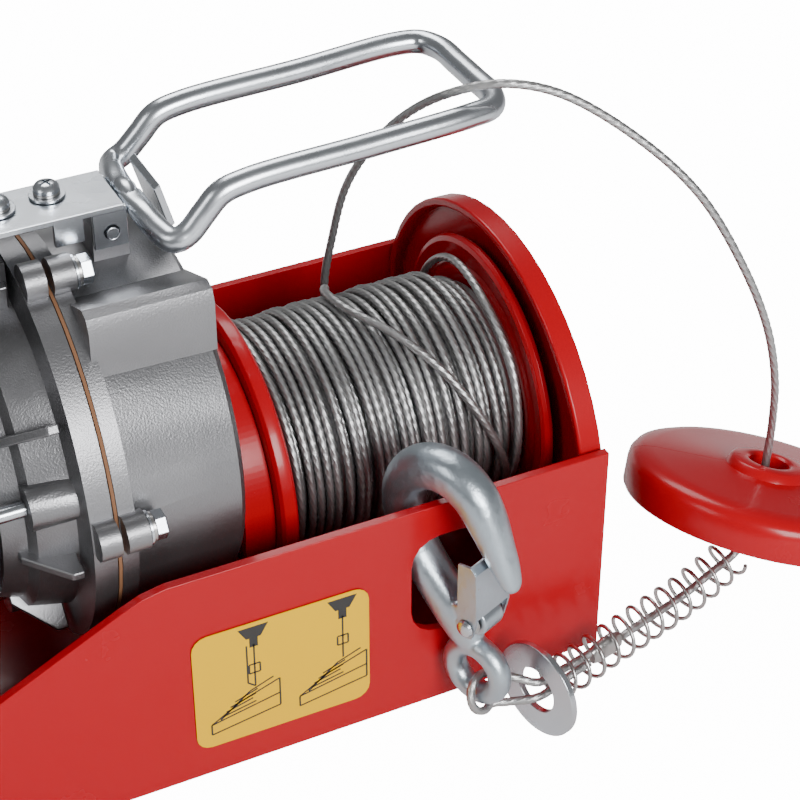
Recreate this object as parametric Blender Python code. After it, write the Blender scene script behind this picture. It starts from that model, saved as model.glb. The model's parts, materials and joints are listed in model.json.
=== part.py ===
"""Compact electric wire-rope hoist, standing on its base plate.

The drum lies along X inside a folded steel channel, the gear case and the motor follow it
towards -X, and a limit lever reaches over the drum. The hook hangs in a slot in the near wall.
All helpers take millimetres in the hoist's own axes: x = 0 at the outer face of the end plate,
y = 0 on the centre plane, z = 0 on the underside of the base plate. The empty "hoist" carries
everything and puts the middle of the footprint at the world's origin.
"""

import math

import bmesh
import bpy
from mathutils import Matrix, Vector

MM = 0.001

# Driving dimensions, in millimetres
WIDTH = 145.0
SHEET = 3.0
GAP = 0.3
WALL_TOP = 79.0
CHANNEL_END_X = -300.0
TROUGH_HEIGHT = 22.0
BOLT_HEAD = 5.5
DRUM_Z = 65.0
DRUM_CORE_R = 27.0
DRUM_FLANGE_R = 50.0
DRUM_RIGHT_X = -6.0
DRUM_LEFT_X = -101.8
FLANGE_RIM = 5.8
WOUND_R = 40.0
AXLE_R = 8.0
MOTOR_Z = 93.0
CASE_R = 60.0
CASE_FACE_X = -116.5
JOINT_X = -158.0
JOINT_R = 64.5
BOLT_CIRCLE_R = 65.8
CASE_BOLT_ANGLES = (105, 176, 222, 270, 318, 20)
COVER_X = -188.0
STATOR_X = (-292.0, -194.0)
SHIELD_X = (-300.0, -292.3)
COWL_END_X = -372.0
ROPE_D = 2.8
ROD_R = 3.8
LEVER_PIVOT = (-135.5, 162.0)
SPRING_R = 6.6
SPRING_WIRE = 1.4
SPRING_TURNS = 13
MIDDLE_X = 184.0

# Gear train: (teeth, module), all shafts parallel to the drum
RING_TEETH, DRUM_PINION_TEETH, DRUM_MODULE = 38, 10, 2.0
OUTPUT_TEETH, COUNTER_PINION_TEETH = 38, 14
COUNTER_TEETH, ROTOR_TEETH = 40, 12
FINE_MODULE = 1.0
COUNTER_ANGLE = math.radians(20)
COUNTER_DISTANCE = FINE_MODULE * (OUTPUT_TEETH + COUNTER_PINION_TEETH) / 2
COUNTER_Y = COUNTER_DISTANCE * math.cos(COUNTER_ANGLE)
COUNTER_Z = MOTOR_Z + COUNTER_DISTANCE * math.sin(COUNTER_ANGLE)


# ---------------------------------------------------------------- materials

def material(name, colour, roughness, metallic=0.0):
    """A Principled material with one colour."""
    made = bpy.data.materials.new(name)
    made.use_nodes = True
    made.diffuse_color = (*colour, 1.0)
    shader = made.node_tree.nodes["Principled BSDF"]
    shader.inputs["Base Color"].default_value = (*colour, 1.0)
    shader.inputs["Roughness"].default_value = roughness
    shader.inputs["Metallic"].default_value = metallic
    return made


for leftover in list(bpy.data.objects):
    bpy.data.objects.remove(leftover)

RED = material("red_powder_coat", (0.62, 0.015, 0.02), 0.3)
CAST = material("cast_aluminium", (0.45, 0.45, 0.46), 0.55, 0.8)
ZINC = material("zinc_plate", (0.6, 0.63, 0.66), 0.3, 1.0)
STEEL = material("steel", (0.42, 0.41, 0.4), 0.35, 1.0)
ROPE = material("wire_rope", (0.4, 0.4, 0.4), 0.45, 0.9)
GASKET = material("gasket", (0.3, 0.12, 0.05), 0.8)
LABEL = material("label", (0.9, 0.65, 0.02), 0.4)
BLACK = material("black_plastic", (0.02, 0.02, 0.022), 0.5)
FIBRE = material("brake_lining", (0.15, 0.12, 0.1), 0.9)

hoist = bpy.data.objects.new("hoist", None)
hoist.location = (MIDDLE_X * MM, 0, BOLT_HEAD * MM)
bpy.context.scene.collection.objects.link(hoist)


# ---------------------------------------------------------------- mesh helpers

def place(name, data, look, helper=False):
    """Links the data as an object on the hoist. A helper is a Boolean operand, left out of the model."""
    obj = bpy.data.objects.new(name, data)
    bpy.context.scene.collection.objects.link(obj)
    obj.parent = hoist
    data.materials.append(look)
    if helper:
        obj.hide_render = True
        obj.display_type = "WIRE"
    return obj


def shape(name, verts, faces, look, helper=False):
    """A closed mesh from millimetre points, with its faces turned outwards."""
    mesh = bpy.data.meshes.new(name)
    mesh.from_pydata([Vector(v) * MM for v in verts], [], faces)
    work = bmesh.new()
    work.from_mesh(mesh)
    bmesh.ops.recalc_face_normals(work, faces=work.faces)
    work.to_mesh(mesh)
    work.free()
    mesh.shade_smooth()
    mesh.set_sharp_from_angle(angle=math.radians(35))
    return place(name, mesh, look, helper)


def on_axis(axis, a, b, along):
    """The point with coordinates a and b across the axis, and one along it."""
    if axis == "X":
        return (along, a, b)
    if axis == "Y":
        return (a, along, b)
    return (a, b, along)


def prism(name, outline, low, high, axis, look, helper=False):
    """The outline pushed along an axis from low to high."""
    count = len(outline)
    verts = [on_axis(axis, a, b, along) for along in (low, high) for a, b in outline]
    faces = [tuple(range(count)), tuple(range(2 * count - 1, count - 1, -1))]
    for i in range(count):
        j = (i + 1) % count
        faces.append((i, j, j + count, i + count))
    return shape(name, verts, faces, look, helper)


def block(name, x, y, z, look, helper=False):
    """A box from three (low, high) pairs."""
    corners = [(x[0], y[0]), (x[1], y[0]), (x[1], y[1]), (x[0], y[1])]
    return prism(name, corners, z[0], z[1], "Z", look, helper)


def band(name, outer, inner, low, high, axis, look):
    """The space between two outlines with the same number of points, from low to high."""
    count = len(outer)
    verts = [on_axis(axis, a, b, along) for along in (low, high) for loop in (outer, inner)
             for a, b in loop]
    faces = []
    for i in range(count):
        j = (i + 1) % count
        faces.append((i, j, j + count, i + count))
        faces.append((i + 2 * count, j + 2 * count, j + 3 * count, i + 3 * count))
        faces.append((i, j, j + 2 * count, i + 2 * count))
        faces.append((i + count, j + count, j + 3 * count, i + 3 * count))
    return shape(name, verts, faces, look)


def lathe(name, profile, centre, look, axis="X", segments=32, helper=False):
    """Turns the closed profile of (along, radius) points about an axis through centre.

    Points at radius 0 lie on the axis, and the profile may close along the axis.
    """
    verts = []
    rings = []
    for along, radius in profile:
        if radius == 0:
            rings.append([len(verts)] * segments)
            verts.append(on_axis(axis, centre[0], centre[1], along))
            continue
        rings.append(list(range(len(verts), len(verts) + segments)))
        for i in range(segments):
            turn = 2 * math.pi * i / segments
            a = centre[0] + radius * math.cos(turn)
            b = centre[1] + radius * math.sin(turn)
            verts.append(on_axis(axis, a, b, along))
    faces = []
    for first, second in zip(rings, rings[1:] + rings[:1]):
        for i in range(segments):
            j = (i + 1) % segments
            corners = [first[i], first[j], second[j], second[i]]
            face = tuple(dict.fromkeys(corners))
            if len(face) > 2:
                faces.append(face)
    return shape(name, verts, faces, look, helper)


def ring(name, inner, outer, low, high, centre, look, axis="X", segments=32):
    """A plain ring, such as a bush or a washer."""
    profile = [(low, inner), (low, outer), (high, outer), (high, inner)]
    return lathe(name, profile, centre, look, axis, segments)


def smooth_route(route, spacing):
    """Points about spacing apart on a smooth curve through the route's own points."""
    points = [Vector(p) for p in route]
    points = [2 * points[0] - points[1], *points, 2 * points[-1] - points[-2]]
    dense = []
    for before, start, end, after in zip(points, points[1:], points[2:], points[3:]):
        knots = [0.0]
        for p, q in ((before, start), (start, end), (end, after)):
            knots.append(knots[-1] + math.sqrt((q - p).length))
        for step in range(24):
            t = knots[1] + (knots[2] - knots[1]) * step / 24
            level = [before, start, end, after]
            for reach in (1, 2):
                level = [
                    level[i].lerp(level[i + 1], (t - knots[i]) / (knots[i + reach] - knots[i]))
                    for i in range(len(level) - 1)
                ]
            dense.append(level[0].lerp(level[1], (t - knots[1]) / (knots[2] - knots[1])))
    dense.append(points[-2].copy())
    lengths = [0.0]
    for p, q in zip(dense, dense[1:]):
        lengths.append(lengths[-1] + (q - p).length)
    count = max(2, round(lengths[-1] / spacing))
    result = []
    k = 0
    for i in range(count + 1):
        wanted = lengths[-1] * i / count
        while k < len(dense) - 2 and lengths[k + 1] < wanted:
            k += 1
        share = (wanted - lengths[k]) / max(lengths[k + 1] - lengths[k], 1e-9)
        result.append(dense[k].lerp(dense[k + 1], share))
    return result


def tube(name, points, diameter, look, resolution=2):
    """A round bar or rope along the points, with closed ends."""
    curve = bpy.data.curves.new(name, "CURVE")
    curve.dimensions = "3D"
    curve.bevel_depth = diameter / 2 * MM
    curve.bevel_resolution = resolution
    curve.use_fill_caps = True
    spline = curve.splines.new("POLY")
    spline.points.add(len(points) - 1)
    for slot, point in zip(spline.points, points):
        slot.co = (*(Vector(point) * MM), 1.0)
    return place(name, curve, look)


def combine(obj, other, operation):
    modifier = obj.modifiers.new(operation.lower(), "BOOLEAN")
    modifier.operation = operation
    modifier.object = other


def cut(obj, *cutters):
    for cutter in cutters:
        combine(obj, cutter, "DIFFERENCE")


def join(obj, *others):
    for other in others:
        combine(obj, other, "UNION")


def circle(centre, radius, count, start=0.0, sweep=2 * math.pi):
    return [
        (centre[0] + radius * math.cos(start + sweep * i / count),
         centre[1] + radius * math.sin(start + sweep * i / count))
        for i in range(count)
    ]


def rounded(low, high, radius, steps=4):
    """A rectangle with round corners, as an outline."""
    corners = ((high[0], high[1], 0), (low[0], high[1], 1), (low[0], low[1], 2), (high[0], low[1], 3))
    outline = []
    for a, b, quarter in corners:
        centre = (a - math.copysign(radius, a - (low[0] + high[0]) / 2),
                  b - math.copysign(radius, b - (low[1] + high[1]) / 2))
        for i in range(steps + 1):
            turn = (quarter + i / steps) * math.pi / 2
            outline.append((centre[0] + radius * math.cos(turn), centre[1] + radius * math.sin(turn)))
    return outline


# ---------------------------------------------------------------- frame

def frame_parts():
    half = WIDTH / 2
    wall = [(0, 0), (0, WALL_TOP), (-148.5, WALL_TOP), (-156, 77.5), (-163, 74.4), (-172.5, 69.6),
            (-201, 55.1), (-252, 29.5), (-262, 24.5), (-272, TROUGH_HEIGHT),
            (CHANNEL_END_X, TROUGH_HEIGHT), (CHANNEL_END_X, 0)]
    channel = prism("frame_channel", wall, -half, half, "Y", RED)
    inside = block("channel_inside", (CHANNEL_END_X - 10, 10), (SHEET - half, half - SHEET),
                   (SHEET, WALL_TOP + 10), RED, helper=True)
    slot = prism("hook_slot", rounded((-69, 29), (-42, 67), 10), -half - 5, 10 - half, "Y", RED,
                 helper=True)
    cut(channel, inside, slot)
    for i, (x, y) in enumerate(BASE_BOLTS):
        hole = lathe(f"base_hole_{i}", [(-5, 0), (-5, 4.3), (8, 4.3), (8, 0)], (x, y), RED, "Z", 16,
                     helper=True)
        cut(channel, hole)
        head = [(-BOLT_HEAD, 0), (-BOLT_HEAD, 7.2), (-GAP, 7.2), (-GAP, 3.9), (9, 3.9), (9, 0)]
        lathe(f"base_bolt_{i + 1}", head, (x, y), ZINC, "Z", 12)

    side = half - SHEET - GAP
    bend = half
    centre_z = 53.0
    start = math.acos(side / bend)
    arch = circle((0, centre_z), bend, 20, start, math.pi - 2 * start)
    arch.append((-side, centre_z + bend * math.sin(start)))
    outline = [(side, SHEET + GAP), *arch, (-side, SHEET + GAP)]
    end_plate = prism("end_plate", outline, -8, 0, "X", RED)
    inner_side = side - SHEET
    inner_bend = bend - SHEET
    start = math.acos(inner_side / inner_bend)
    arch = circle((0, centre_z), inner_bend, 20, start, math.pi - 2 * start)
    arch.append((-inner_side, centre_z + inner_bend * math.sin(start)))
    hollow = prism("end_hollow", [(inner_side, 2 * SHEET + GAP), *arch, (-inner_side, 2 * SHEET + GAP)],
                   -12, -SHEET, "X", RED, helper=True)
    bore = lathe("end_bore", [(-12, 0), (-12, AXLE_R + GAP), (5, AXLE_R + GAP), (5, 0)],
                 (0, DRUM_Z), RED, helper=True)
    cut(end_plate, hollow, bore)

    partition = prism("partition_plate",
                      [(side, SHEET + GAP), (side, 40), (40, 52), (16, 81), (-16, 81), (-40, 52),
                       (-side, 40), (-side, SHEET + GAP)],
                      CASE_FACE_X + GAP, CASE_FACE_X + GAP + SHEET, "X", RED)
    bore = lathe("partition_bore", [(-125, 0), (-125, AXLE_R + GAP), (-105, AXLE_R + GAP), (-105, 0)],
                 (0, DRUM_Z), RED, helper=True)
    cut(partition, bore)
    prism("instruction_label", rounded((-142.5, 11.5), (-84, 56.5), 5), -half - 0.55, -half - GAP,
          "Y", LABEL)


BASE_BOLTS = ((-22, -45), (-22, 45), (-275, -45), (-275, 45))


# ---------------------------------------------------------------- drum

def drum_parts():
    centre = (0, DRUM_Z)
    left = DRUM_LEFT_X
    right = DRUM_RIGHT_X
    core = DRUM_CORE_R
    bore = core - 4
    rim = DRUM_FLANGE_R
    hub = AXLE_R + GAP
    spool = [(right, hub), (right, rim), (right - 3, rim), (right - 3, core),
             (left + FLANGE_RIM, core), (left + FLANGE_RIM, rim), (left, rim), (left, hub),
             (left + 8, hub), (left + 8, bore), (right - 8, bore), (right - 8, hub)]
    lathe("drum_spool", spool, centre, RED, segments=40)
    turns = [(left + FLANGE_RIM + GAP, core + GAP), (left + FLANGE_RIM + GAP, WOUND_R - 1),
             (-82, WOUND_R + 0.5), (-62, WOUND_R), (-40, WOUND_R - 0.5), (-22, WOUND_R - 1.5),
             (right - 3 - GAP, WOUND_R - 3), (right - 3 - GAP, core + GAP)]
    lathe("wound_rope", turns, centre, ROPE, segments=40)
    pinion_x = (-112.0, -103.5)
    teeth = gear_outline(RING_TEETH, DRUM_MODULE, centre, math.pi / 2 + math.pi / RING_TEETH, True)
    rim_outline = circle(centre, 44, len(teeth), start_of(teeth, centre))
    band("drum_ring_gear", rim_outline, teeth, pinion_x[0], left - GAP, "X", RED)
    shaft = lathe("output_shaft", [(-154, 0), (-154, 6), (-103, 6), (-103, 0)], (0, MOTOR_Z), STEEL,
                  segments=20)
    pinion = prism("drum_pinion", gear_outline(DRUM_PINION_TEETH, DRUM_MODULE, (0, MOTOR_Z), math.pi / 2),
                   *pinion_x, "X", STEEL, helper=True)
    join(shaft, pinion)
    axle = [(CASE_FACE_X + 2 * GAP, 0), (CASE_FACE_X + 2 * GAP, AXLE_R), (GAP, AXLE_R), (GAP, 14),
            (4, 14), (4, 0)]
    lathe("drum_axle", axle, centre, STEEL)


def gear_outline(teeth, module, centre, tooth_at, internal=False):
    """A toothed outline with a tooth centred at the angle tooth_at, and backlash for any phase."""
    pitch_r = teeth * module / 2
    tip = pitch_r + (-0.75 if internal else 0.75) * module
    root = pitch_r + (1.1 if internal else -1.1) * module
    pitch = 2 * math.pi / teeth
    outline = []
    for i in range(teeth):
        middle = tooth_at + i * pitch
        for radius, offset in ((root, -0.27), (tip, -0.11), (tip, 0.11), (root, 0.27)):
            turn = middle + offset * pitch
            outline.append((centre[0] + radius * math.cos(turn), centre[1] + radius * math.sin(turn)))
    return outline


def start_of(outline, centre):
    return math.atan2(outline[0][1] - centre[1], outline[0][0] - centre[0])


# ---------------------------------------------------------------- gear case

def gear_case_parts():
    centre = (0, MOTOR_Z)
    wall = 4.0
    face = CASE_FACE_X
    case = lathe("gear_case",
                 [(face, 6.4), (face, CASE_R - 3), (face - 2, CASE_R - 0.6), (JOINT_X + 5, CASE_R),
                  (JOINT_X + 5, JOINT_R), (JOINT_X, JOINT_R), (JOINT_X, CASE_R - 2 * wall),
                  (face - wall, CASE_R - 2 * wall), (face - wall, 14), (face - 9, 12),
                  (face - 9, 6.4)], centre, CAST, segments=48)
    ridge = prism("case_ridge", [(-16, 148), (-31, 154), (-37, 156.3), (-40.5, 155), (-42, 151),
                                 (-42, 135), (-30, 135), (-16, 144)],
                  JOINT_X + 3, face - 0.5, "X", CAST, helper=True)
    boss = prism("case_boss", [(-141, 149), (-130, 149), (-130, 164), (-133, 167), (-138, 167),
                               (-141, 164)], -8, 8, "Y", CAST, helper=True)
    join(case, ridge, boss)
    pin_hole = lathe("pin_hole", [(-12, 0), (-12, 2.4), (12, 2.4), (12, 0)], LEVER_PIVOT, CAST, "Y", 16,
                     helper=True)
    cut(case, pin_hole)
    lathe("lever_pin", [(-11, 0), (-11, 2), (11, 2), (11, 0)], LEVER_PIVOT, ZINC, "Y", 12)
    ring("case_gasket", CASE_R - 2 * wall, JOINT_R, JOINT_X - 1.2, JOINT_X - GAP / 2 - 0.05, centre,
         GASKET, segments=48)

    joint = JOINT_X - 1.5
    cover = lathe("gear_cover",
                  [(joint, JOINT_R - 14), (joint, JOINT_R), (joint - 7, JOINT_R), (joint - 8, 54),
                   (-179, 51.5), (-181, 48), (COVER_X, 46), (COVER_X, 5.4), (COVER_X + 9, 5.4), (COVER_X + 9, 12),
                   (COVER_X + 4, 14), (COVER_X + 4, 42),
                   (joint - 6, JOINT_R - 14)], centre, CAST, segments=48)
    for i, turn in enumerate(tie_rod_angles()):
        at = tie_rod_place(turn)
        boss = lathe(f"rod_boss_{i}", [(-181, 0), (-181, 7), (-163, 7), (-163, 0)], at, CAST, "X", 16,
                     helper=True)
        join(cover, boss)
        rod = [(-305, 0), (-305, 4.6), (SHIELD_X[0] - GAP, 4.6), (SHIELD_X[0] - GAP, 2.4),
               (-181.3, 2.4), (-181.3, 0)]
        lathe(f"tie_rod_{i + 1}", rod, at, ZINC, "X", 10)
    case_bolts(case, cover)


def tie_rod_angles():
    return [math.radians(167.6 - 90 * i) for i in range(4)]


def tie_rod_place(turn):
    return (51.2 * math.cos(turn), MOTOR_Z + 51.2 * math.sin(turn))


def case_bolts(case, cover):
    """Six hexagon bolts on lugs round the joint, with heads on the drum side."""
    for i, angle in enumerate(CASE_BOLT_ANGLES):
        turn = math.radians(angle)
        at = (BOLT_CIRCLE_R * math.cos(turn), MOTOR_Z + BOLT_CIRCLE_R * math.sin(turn))
        seat = JOINT_X + 7
        lug = lathe(f"case_lug_{i}", [(JOINT_X + 0.2, 0), (JOINT_X + 0.2, 6), (seat, 6), (seat, 0)], at,
                    CAST, "X", 12, helper=True)
        join(case, lug)
        low = JOINT_X - 8
        lug = lathe(f"cover_lug_{i}", [(low, 0), (low, 6), (JOINT_X - 1.7, 6), (JOINT_X - 1.7, 0)], at,
                    CAST, "X", 12, helper=True)
        join(cover, lug)
        washer = seat + GAP
        bolt = [(washer, 0), (washer, 5.2), (washer + 1.6, 5.2), (washer + 1.6, 4.3),
                (washer + 5.6, 4.3), (washer + 5.6, 0)]
        lathe(f"case_bolt_{i + 1}", bolt, at, ZINC, "X", 12)


# ---------------------------------------------------------------- gears and shafts

def gear_train_parts():
    centre = (0, MOTOR_Z)
    counter = (COUNTER_Y, COUNTER_Z)
    away = COUNTER_ANGLE + math.pi
    slow_x = (-150.0, -137.0)
    fast_x = (-173.0, -165.5)

    output = gear_outline(OUTPUT_TEETH, FINE_MODULE, centre, COUNTER_ANGLE)
    band("output_gear", output, circle(centre, 6.3, len(output), start_of(output, centre)), *slow_x,
         "X", STEEL)
    shaft = lathe("counter_shaft", [(-180, 0), (-180, 4), (-122, 4), (-122, 0)], counter, STEEL,
                  segments=16)
    pinion = gear_outline(COUNTER_PINION_TEETH, FINE_MODULE, counter, away + math.pi / COUNTER_PINION_TEETH)
    join(shaft, prism("counter_pinion", pinion, *slow_x, "X", STEEL, helper=True))
    wheel = gear_outline(COUNTER_TEETH, FINE_MODULE, counter, away + math.pi / COUNTER_TEETH)
    band("counter_gear", wheel, circle(counter, 4.3, len(wheel), start_of(wheel, counter)), *fast_x,
         "X", STEEL)
    shaft = lathe("rotor_shaft", [(-352, 0), (-352, 5), (-178, 5), (-178, 3), (-164, 3), (-164, 0)],
                  centre, STEEL, segments=16)
    pinion = gear_outline(ROTOR_TEETH, FINE_MODULE, centre, COUNTER_ANGLE)
    join(shaft, prism("rotor_pinion", pinion, *fast_x, "X", STEEL, helper=True))


# ---------------------------------------------------------------- motor

def motor_parts():
    centre = (0, MOTOR_Z)
    fins = []
    for i in range(28):
        middle = 2 * math.pi * (i + 0.5) / 28
        near_rod = min(abs(math.remainder(middle - t, 2 * math.pi)) for t in tie_rod_angles()) < 0.17
        tip = 46 if near_rod else 58
        for radius, offset in ((46, -0.07), (tip, -0.05), (tip, 0.05), (46, 0.07)):
            turn = middle + offset
            fins.append((radius * math.cos(turn), MOTOR_Z + radius * math.sin(turn)))
    band("stator_housing", fins, circle(centre, 34, len(fins), start_of(fins, centre)), *STATOR_X, "X",
         CAST)
    ring("rotor_core", 5.3, 33, -278, -208, centre, STEEL)
    low, high = SHIELD_X
    shield = lathe("motor_end_shield",
                   [(high, 5.4), (high, 58), (low, 58), (low, 54), (low + 4, 48), (low + 4, 18),
                    (low - 2, 18), (low - 2, 5.4)], centre, CAST, segments=40)
    for i, turn in enumerate(tie_rod_angles()):
        hole = lathe(f"shield_hole_{i}", [(-310, 0), (-310, 2.8), (-285, 2.8), (-285, 0)],
                     tie_rod_place(turn), CAST, "X", 12, helper=True)
        cut(shield, hole)
    ring("brake_disc", 5.3, 34, low - 12, low - 4, centre, FIBRE)
    blades = []
    for i in range(9):
        middle = 2 * math.pi * i / 9
        for radius, offset in ((14, -0.12), (44, -0.035), (44, 0.035), (14, 0.12)):
            turn = middle + offset
            blades.append((radius * math.cos(turn), MOTOR_Z + radius * math.sin(turn)))
    band("cooling_fan", blades, circle(centre, 5.3, len(blades), start_of(blades, centre)), -345, -322,
         "X", BLACK)
    end = COWL_END_X
    lathe("fan_cowl", [(low - GAP, 56.5), (low - GAP, 59), (end + 8, 58), (end, 50), (end, 0),
                       (end + 2.5, 0), (end + 2.5, 48), (end + 9, 55.5)], centre, BLACK, segments=40)
    terminal_box_parts()


def terminal_box_parts():
    x = (-288, -203)
    y = (-30, 30)
    z = (151.8, 186)
    box = prism("terminal_box", rounded((x[0], y[0]), (x[1], y[1]), 6, 2), *z, "Z", BLACK)
    hollow = block("box_hollow", (x[0] + 2.5, x[1] - 2.5), (y[0] + 2.5, y[1] - 2.5),
                   (z[0] + 2.5, z[1] + 5), BLACK, helper=True)
    cut(box, hollow)
    for i, side in enumerate((-14, 14)):
        hole = lathe(f"gland_hole_{i}", [(x[0] - 5, 0), (x[0] - 5, 6.3), (x[0] + 5, 6.3), (x[0] + 5, 0)],
                     (side, 170), BLACK, "X", 16, helper=True)
        cut(box, hole)
        gland = [(x[0] - 14, 4), (x[0] - 14, 7), (x[0] - 8, 8.5), (x[0] - GAP, 8.5), (x[0] - GAP, 6),
                 (x[0] + 6, 6), (x[0] + 6, 4)]
        lathe(("mains_gland", "pendant_gland")[i], gland, (side, 170), BLACK, "X", 16)
    prism("terminal_lid", rounded((x[0], y[0]), (x[1], y[1]), 6, 2), z[1] + GAP, z[1] + 4, "Z", BLACK)
    capacitor = [(-278, 0), (-278, 12), (-240, 12), (-240, 0)]
    lathe("run_capacitor", capacitor, (0, 168), BLACK, "X", 20)


# ---------------------------------------------------------------- limit lever and its switch

def lever_parts():
    half_loop = [(-127, -3, 168.8), (-126.5, -10, 167.5), (-124.5, -20, 164.8), (-122, -25.5, 164),
                 (-118, -26.2, 165.8), (-113, -26, 170.8), (-107.5, -26, 176.2), (-99, -26, 178.4),
                 (-60, -26, 180.2), (-27, -26, 182), (-19, -24, 182), (-15.3, -17, 182), (-15, -6, 182)]
    other_half = [(x, -y, z) for x, y, z in reversed(half_loop)]
    tube("lever_rod", smooth_route(half_loop + other_half, 7.0), 2 * ROD_R, ZINC)

    top = 171.0
    plate = block("lever_plate", (-190, -131.5), (-11, 11), (top - 2, top), ZINC)
    ears = []
    for side in (-1, 1):
        low, high = sorted((side * 8.5, side * 10.2))
        ears.append(prism(f"lever_ear_{side}", [(-141, 157), (-130.5, 157), (-130.5, top - 1),
                                                (-141, top - 1)], low, high, "Y", ZINC, helper=True))
    tab = block("lever_tab", (-153, -144), (-11, -9.2), (161.7, top - 1), ZINC, helper=True)
    join(plate, *ears, tab)
    hole = lathe("ear_hole", [(-14, 0), (-14, 2.4), (14, 2.4), (14, 0)], LEVER_PIVOT, ZINC, "Y", 12,
                 helper=True)
    cut(plate, hole)
    for i, (x, y) in enumerate(((-150, 3), (-165.7, 1))):
        hole = lathe(f"screw_hole_{i}", [(160, 0), (160, 2.3), (180, 2.3), (180, 0)], (x, y), ZINC, "Z",
                     12, helper=True)
        cut(plate, hole)
        screw = [(top - 6, 0), (top - 6, 2), (top + GAP, 2), (top + GAP, 4.6), (top + 1.6, 4.6),
                 (top + 1.6, 3.4), (top + 4, 3), (top + 4, 0)]
        lathe(f"lever_screw_{i + 1}", screw, (x, y), ZINC, "Z", 12)
    prism("lever_gusset", [(-120.5, 170), (-118.5, 171.5), (-114.5, 157), (-116.5, 156)], -6, 15, "Y",
          ZINC)

    switch = block("limit_switch", (-187, -168), (-9, 9), (150.4, 160), BLACK)
    well = lathe("plunger_well", [(155.5, 0), (155.5, 2.9), (165, 2.9), (165, 0)], (-178, 0), BLACK, "Z",
                 12, helper=True)
    cut(switch, well)
    lathe("switch_plunger", [(160 + GAP, 0), (160 + GAP, 2.5), (168.4, 2.5), (168.4, 0)], (-178, 0), RED,
          "Z", 12)


# ---------------------------------------------------------------- free rope

ROPE_ROUTE = ((-48.3, 36.4, 88), (-48.7, 34.5, 97), (-48.8, 28, 115), (-48.4, 18, 139),
              (-45.9, 8, 156), (-39.8, -4.4, 173.4), (-31.8, -19.3, 187), (-18.9, -29.5, 192.4),
              (-2.6, -36, 188.5), (20.2, -46, 172.3), (36.7, -56, 154.2), (51.3, -63, 127.1),
              (60.1, -66.5, 104.1), (63.7, -68.5, 84.8), (64, -69.4, 69.2), (62.9, -70.2, 55.6),
              (61, -71.3, 42), (57.9, -73, 29.5), (51, -74.8, 22), (40.6, -77.1, 18.9),
              (30.9, -79.3, 16.4), (21.6, -81.4, 15), (11.4, -83.7, 14.2), (0.5, -86.2, 13.1))
AXIS_START = Vector((-34.6, -94, 11.3))
FERRULE_X = (-12.5, 0.2)


def spring_line():
    """The curve that the washer, the spring and the ferrule sit on."""
    return smooth_route([AXIS_START, (-21.1, -90.9, 10.6), (-6.8, -87.7, 12.4), *ROPE_ROUTE[:17:-1]], 1.5)


def rope_parts():
    tube("rope_free", smooth_route(ROPE_ROUTE, 6.2), ROPE_D, ROPE)
    line = spring_line()
    ferrule = [p for p in line if FERRULE_X[0] <= p.x <= FERRULE_X[1]][::3]
    ferrule_body(ferrule)
    _, up, through = hook_axes()
    ring_bottom = EYE_CENTRE - EYE_RING_R * up
    loop = []
    for degrees in (75, 120, 165, 210, 255, 290):
        turn = math.radians(degrees)
        loop.append(ring_bottom + 6.2 * (up * math.sin(turn) - through * math.cos(turn)))
    upper = [(-13.4, -89.2, 13.6), (-24, -91.4, 13.2), (-34.6, -93.9, 13.8), (-40.5, -91.2, 15.6),
             (-45.5, -88.4, 17.2)]
    lower = [(-43.5, -91, 6.6), (-34.6, -94.3, 7.8), (-24, -91.9, 8.9), (-13.4, -89.6, 10.2)]
    tube("rope_eye", smooth_route([*upper, *loop, *lower], 4.0), ROPE_D, ROPE)
    helix("stop_spring", [p for p in line if AXIS_START.x + 3 <= p.x <= 49.5])
    washer_on_line()


def frame_at(direction):
    """Two unit vectors across a direction, the second mostly upwards."""
    forward = Vector(direction).normalized()
    side = forward.cross(Vector((0, 0, 1))).normalized()
    return forward, side, side.cross(forward)


def ferrule_body(points):
    """A pressed oval sleeve over the two rope parts."""
    verts = []
    faces = []
    count = 14
    for i, point in enumerate(points):
        ahead = points[min(i + 1, len(points) - 1)] - points[max(i - 1, 0)]
        _, side, up = frame_at(ahead)
        for k in range(count):
            turn = 2 * math.pi * k / count
            verts.append(point + side * 2.6 * math.cos(turn) + up * 4.2 * math.sin(turn))
    for i in range(len(points) - 1):
        for k in range(count):
            j = (k + 1) % count
            faces.append((i * count + k, i * count + j, (i + 1) * count + j, (i + 1) * count + k))
    faces.append(tuple(range(count)))
    faces.append(tuple(range((len(points) - 1) * count, len(points) * count)))
    shape("rope_ferrule", verts, faces, STEEL)


def helix(name, line):
    """The spring's wire, wound round a line of points."""
    steps = SPRING_TURNS * 10
    points = []
    for i in range(steps + 1):
        at = (len(line) - 1) * i / steps
        k = min(int(at), len(line) - 2)
        centre = line[k].lerp(line[k + 1], at - k)
        _, side, up = frame_at(line[k + 1] - line[k])
        turn = 2 * math.pi * i / 10
        points.append(centre + SPRING_R * (side * math.cos(turn) + up * math.sin(turn)))
    tube(name, points, SPRING_WIRE, STEEL, resolution=1)


def washer_on_line():
    """The large washer that the spring pushes against."""
    washer = lathe("spring_washer", [(-1.2, 7.8), (-1.2, 16.6), (1.2, 16.6), (1.2, 7.8)], (0, 0), ZINC,
                   segments=32)
    forward, side, up = frame_at((0.966, 0.258, 0.0))
    turn = Matrix((forward, -side, up)).transposed().to_4x4()
    washer.matrix_local = Matrix.Translation(AXIS_START * MM) @ turn


# ---------------------------------------------------------------- limit-stop weight

STOP_TOP = Vector((63.6, -70, 47.6))
STOP_AXIS = Vector((0.319, 0.175, 0.931)).normalized()
STOP_R = 46.0
STOP_RIM = 14.3


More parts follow.
